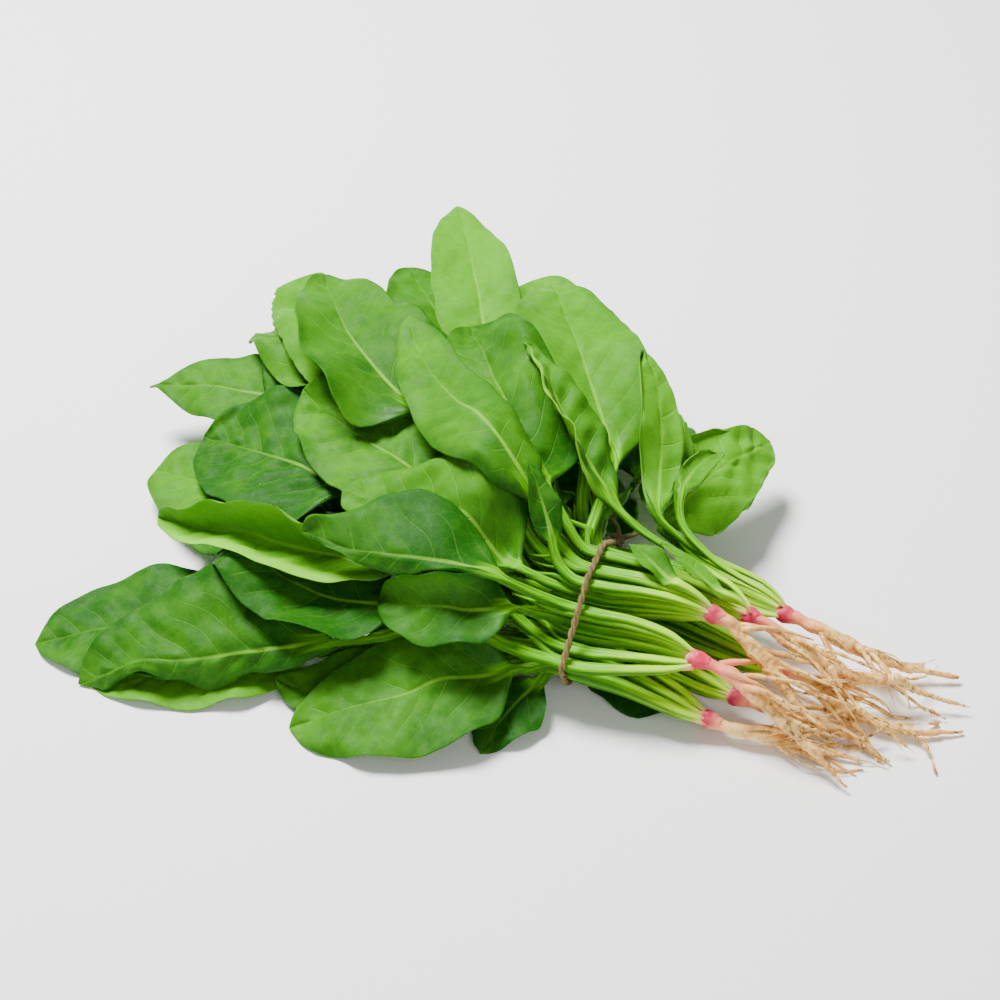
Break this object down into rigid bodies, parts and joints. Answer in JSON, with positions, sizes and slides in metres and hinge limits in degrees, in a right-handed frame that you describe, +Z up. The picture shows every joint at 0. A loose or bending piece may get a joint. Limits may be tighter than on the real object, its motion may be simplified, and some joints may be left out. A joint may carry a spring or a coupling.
{
  "type": "spinach bunch",
  "caption": "Bunch of fresh spinach with its roots on, tied round the stalks with a twist of straw and lying on its side.",
  "frame": {"origin": "on the surface that the bunch lies on, at the flat underside of the tie", "axes": "+X along the stalks from the tie to the roots, +Y to the side that most leaves fan out to, +Z up"},
  "size_m": [0.3783, 0.2837, 0.0848],
  "materials": {
    "leaf": "waxy green leaf, satin above, duller below, on a paler juicy stalk",
    "root": "matte tan root with a pink crown and traces of soil",
    "straw": "dry twisted straw, matte"
  },
  "bodies": {
    "root": {"leaf_01": "leaf", "leaf_02": "leaf", "leaf_03": "leaf", "leaf_04": "leaf", "leaf_05": "leaf", "leaf_06": "leaf", "leaf_07": "leaf", "leaf_08": "leaf", "leaf_09": "leaf", "leaf_10": "leaf", "leaf_11": "leaf", "leaf_12": "leaf", "leaf_13": "leaf", "leaf_14": "leaf", "leaf_15": "leaf", "leaf_16": "leaf", "leaf_17": "leaf", "leaf_18": "leaf", "leaf_19": "leaf", "leaf_20": "leaf", "leaf_21": "leaf", "leaf_22": "leaf", "leaf_23": "leaf", "leaf_24": "leaf", "leaf_25": "leaf", "leaf_26": "leaf", "leaf_27": "leaf", "leaf_28": "leaf", "leaf_29": "leaf", "leaf_30": "leaf", "leaf_31": "leaf", "leaf_32": "leaf", "leaf_33": "leaf", "leaf_34": "leaf", "leaf_35": "leaf", "leaf_36": "leaf", "leaf_37": "leaf", "leaf_38": "leaf", "leaf_39": "leaf", "leaf_40": "leaf", "leaf_41": "leaf", "leaf_42": "leaf", "leaf_43": "leaf", "leaf_44": "leaf", "leaf_45": "leaf", "leaf_46": "leaf", "leaf_47": "leaf", "leaf_48": "leaf", "leaf_49": "leaf", "root_a": "root", "root_b": "root", "root_c": "root", "root_d": "root", "root_e": "root", "root_f": "root", "root_g": "root", "straw_tie": "straw"}
  },
  "joints": []
}
